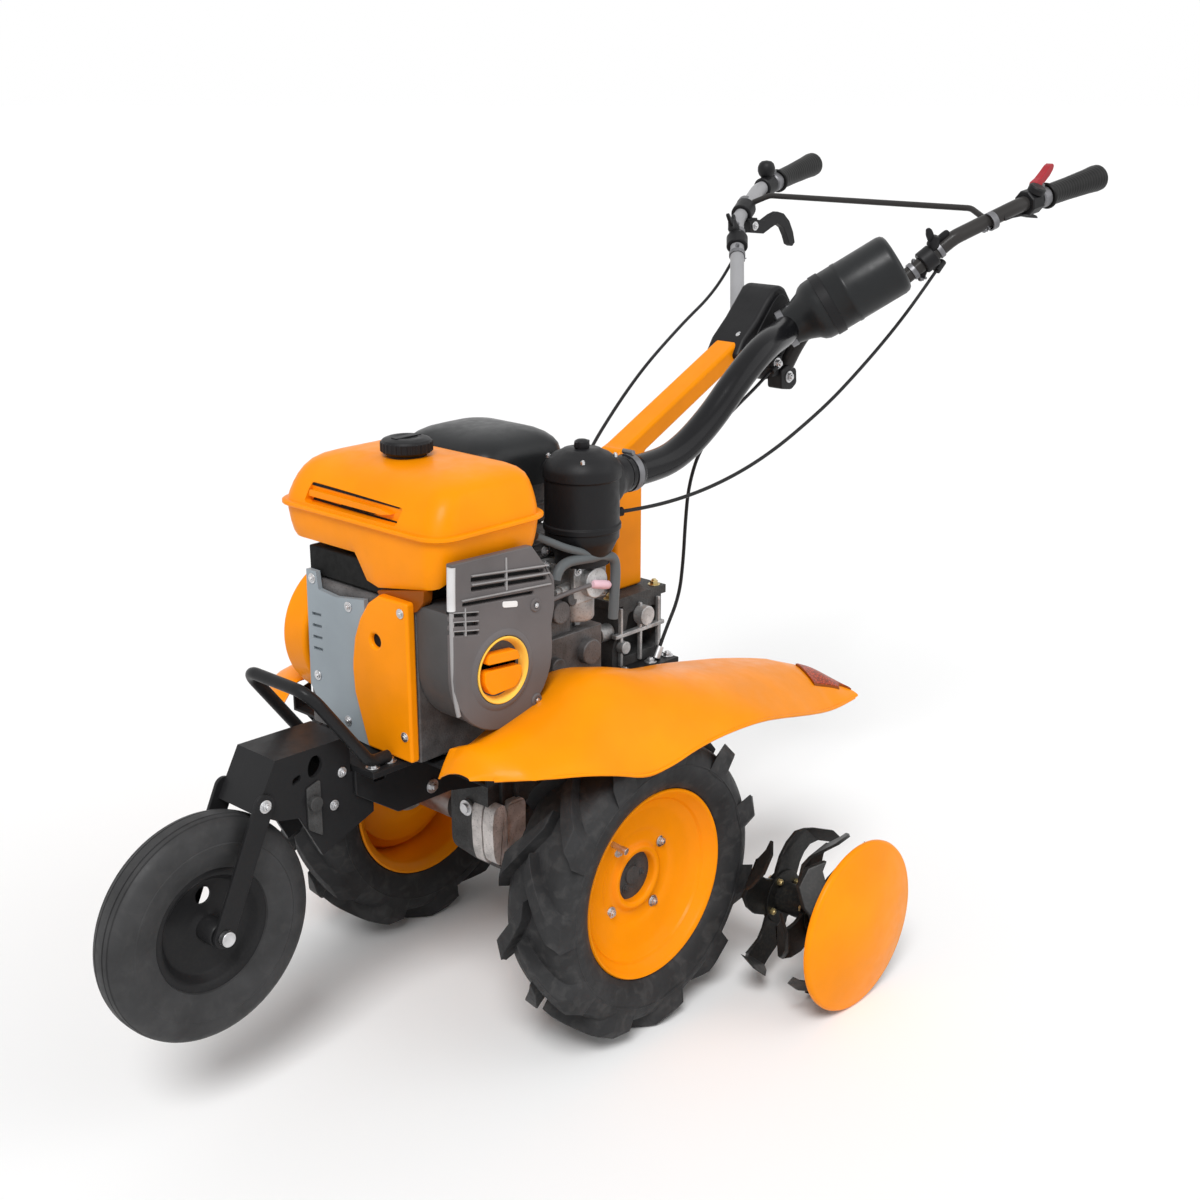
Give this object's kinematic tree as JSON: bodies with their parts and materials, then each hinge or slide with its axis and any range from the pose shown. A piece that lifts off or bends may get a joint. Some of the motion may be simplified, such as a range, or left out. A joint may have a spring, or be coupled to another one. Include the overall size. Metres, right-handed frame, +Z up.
{
  "type": "rotary tiller",
  "caption": "Walk-behind rotary tiller with drive wheels, front transport wheel, engine with recoil starter, fenders, rear tine rotor with guard discs and handles.",
  "frame": {"origin": "on the floor, under the middle of the machine's length and width", "axes": "+X forward, towards the front wheel; +Y to the machine's left, where the recoil starter is; +Z up"},
  "size_m": [1.6558, 0.884, 1.0675],
  "materials": {
    "black_paint": "satin",
    "black_plastic": "satin",
    "bright_steel": "satin",
    "cable_sheath": "satin",
    "cast_case": "matte",
    "engine_alloy": "matte",
    "grey_plastic": "satin",
    "grey_tube": "satin",
    "grip_rubber": "matte",
    "hose_rubber": "satin",
    "orange_paint": "gloss",
    "orange_plastic": "satin",
    "red_plastic": "gloss",
    "tyre_rubber": "matte"
  },
  "bodies": {
    "machine": {"air_filter": "black_plastic", "belt_cover": "orange_plastic", "bumper": "black_paint", "cable_stops": "bright_steel", "carburettor": "engine_alloy", "clutch_cable": "cable_sheath", "clutch_lever": "black_plastic", "column_base": "cast_case", "crossbar": "black_paint", "drive_cable": "cable_sheath", "engine_block": "engine_alloy", "frame": "black_paint", "front_axle_bolt": "bright_steel", "front_bracket": "black_paint", "front_fork": "black_paint", "front_shroud": "orange_paint", "fuel_cap": "black_plastic", "fuel_tank": "orange_paint", "gearbox": "cast_case", "governor_arm": "grey_tube", "grip_collars": "black_plastic", "handle_column": "orange_paint", "handle_mount": "black_paint", "intake_hose": "hose_rubber", "intake_housing": "black_plastic", "left_fender": "orange_paint", "left_fender_brackets": "black_paint", "left_grip": "grip_rubber", "left_handle_tube": "black_paint", "mount_block": "black_paint", "muffler": "bright_steel", "muffler_guard": "black_paint", "recoil_grip": "orange_plastic", "recoil_housing": "grey_plastic", "red_lever": "red_plastic", "right_fender": "orange_paint", "right_fender_brackets": "black_paint", "right_grip": "grip_rubber", "right_handle_tube": "grey_tube", "tank_seat": "black_paint", "throttle_cable": "cable_sheath", "wing_clamps": "black_plastic"},
    "drive_wheels": {"drive_shaft": "bright_steel", "left_drive_rim": "orange_paint", "left_drive_tyre": "tyre_rubber", "right_drive_rim": "orange_paint", "right_drive_tyre": "tyre_rubber"},
    "front_wheel": {"front_rim": "black_paint", "front_tyre": "tyre_rubber"},
    "tine_rotor": {"left_guard_disc": "orange_paint", "left_inner_tines": "black_paint", "left_outer_tines": "black_paint", "right_guard_disc": "orange_paint", "right_inner_tines": "black_paint", "right_outer_tines": "black_paint", "tine_shaft": "black_paint"}
  },
  "joints": [
    {"name": "drive_axle_spin", "type": "hinge", "parent": "machine", "child": "drive_wheels", "pos_m": [0.19387, 0, 0.205], "axis": [0, 1, 0], "continuous": true},
    {"name": "front_wheel_spin", "type": "hinge", "parent": "machine", "child": "front_wheel", "pos_m": [0.69087, 0, 0.2516], "axis": [0, 1, 0], "continuous": true},
    {"name": "tine_rotor_spin", "type": "hinge", "parent": "machine", "child": "tine_rotor", "pos_m": [-0.02813, 0, 0.117], "axis": [0, 1, 0], "continuous": true}
  ]
}
